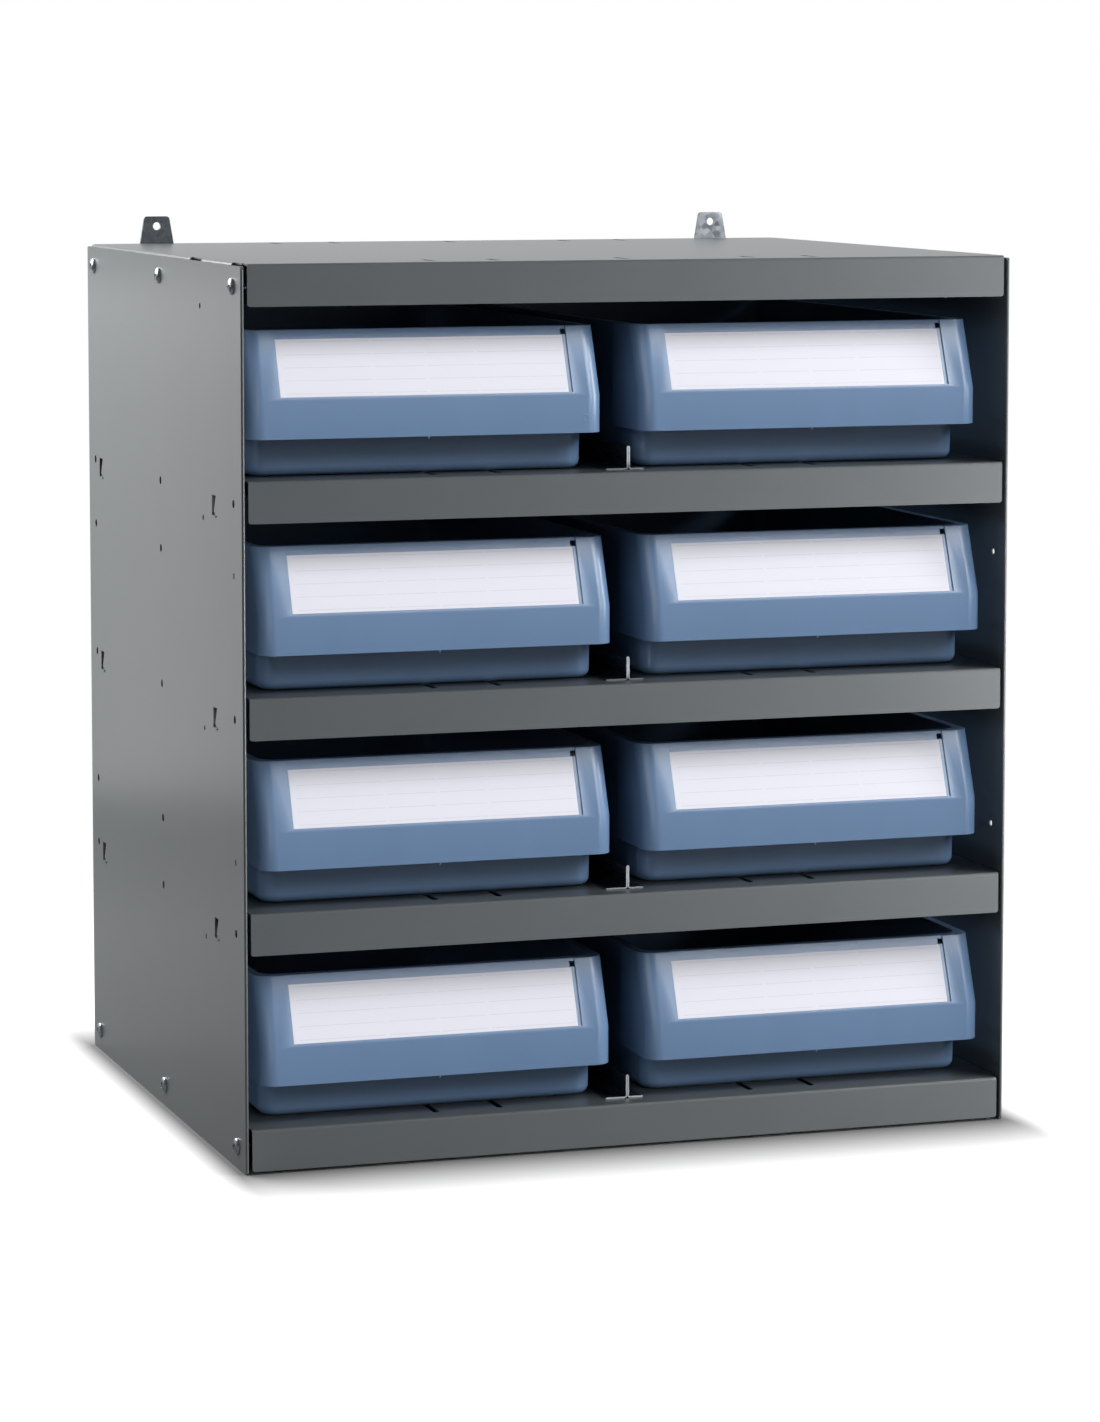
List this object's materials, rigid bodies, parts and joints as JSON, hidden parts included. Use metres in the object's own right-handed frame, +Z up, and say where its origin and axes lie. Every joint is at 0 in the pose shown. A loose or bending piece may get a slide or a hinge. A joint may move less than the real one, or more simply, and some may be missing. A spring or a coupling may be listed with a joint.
{
  "type": "bin shelving rack",
  "caption": "Sheet-steel shelving rack with pull-out label-front bins side by side on every level, to stand on a bench or hang on a wall.",
  "frame": {"origin": "middle of the footprint, on the surface that the rack stands on", "axes": "+Z up, -Y out of the open front, +X to the right as seen from the front"},
  "size_m": [0.5386, 0.443, 0.6096],
  "materials": {
    "grey_enamel": "satin grey enamel",
    "bright_zinc": "bright zinc plated",
    "divider_zinc": "zinc-coated sheet",
    "blue_polypropylene": "moulded, soft satin",
    "white_card": "printed card with dotted writing lines"
  },
  "bodies": {
    "rack": {"side_panel_left": "grey_enamel", "side_panel_right": "grey_enamel", "top_panel": "grey_enamel", "bottom_panel": "grey_enamel", "shelf_upper": "grey_enamel", "shelf_middle": "grey_enamel", "shelf_lower": "grey_enamel", "back_panel": "grey_enamel", "wall_bracket_left": "bright_zinc", "wall_bracket_right": "bright_zinc", "bracket_screws": "bright_zinc", "back_panel_screws": "bright_zinc", "panel_screws_left": "bright_zinc", "panel_screws_right": "bright_zinc", "panel_nuts_left": "bright_zinc", "panel_nuts_right": "bright_zinc", "divider_1": "divider_zinc", "divider_2": "divider_zinc", "divider_3": "divider_zinc", "divider_4": "divider_zinc"},
    "bin_1_left": {"bin_1_left": "blue_polypropylene", "label_card_1_left": "white_card"},
    "bin_1_right": {"bin_1_right": "blue_polypropylene", "label_card_1_right": "white_card"},
    "bin_2_left": {"bin_2_left": "blue_polypropylene", "label_card_2_left": "white_card"},
    "bin_2_right": {"bin_2_right": "blue_polypropylene", "label_card_2_right": "white_card"},
    "bin_3_left": {"bin_3_left": "blue_polypropylene", "label_card_3_left": "white_card"},
    "bin_3_right": {"bin_3_right": "blue_polypropylene", "label_card_3_right": "white_card"},
    "bin_4_left": {"bin_4_left": "blue_polypropylene", "label_card_4_left": "white_card"},
    "bin_4_right": {"bin_4_right": "blue_polypropylene", "label_card_4_right": "white_card"}
  },
  "joints": [
    {"name": "bin_1_left_slide", "type": "slide", "parent": "rack", "child": "bin_1_left", "axis": [0, -1, 0], "range_m": [0, 0.25]},
    {"name": "bin_1_right_slide", "type": "slide", "parent": "rack", "child": "bin_1_right", "axis": [0, -1, 0], "range_m": [0, 0.25]},
    {"name": "bin_2_left_slide", "type": "slide", "parent": "rack", "child": "bin_2_left", "axis": [0, -1, 0], "range_m": [0, 0.25]},
    {"name": "bin_2_right_slide", "type": "slide", "parent": "rack", "child": "bin_2_right", "axis": [0, -1, 0], "range_m": [0, 0.25]},
    {"name": "bin_3_left_slide", "type": "slide", "parent": "rack", "child": "bin_3_left", "axis": [0, -1, 0], "range_m": [0, 0.25]},
    {"name": "bin_3_right_slide", "type": "slide", "parent": "rack", "child": "bin_3_right", "axis": [0, -1, 0], "range_m": [0, 0.25]},
    {"name": "bin_4_left_slide", "type": "slide", "parent": "rack", "child": "bin_4_left", "axis": [0, -1, 0], "range_m": [0, 0.25]},
    {"name": "bin_4_right_slide", "type": "slide", "parent": "rack", "child": "bin_4_right", "axis": [0, -1, 0], "range_m": [0, 0.25]}
  ]
}
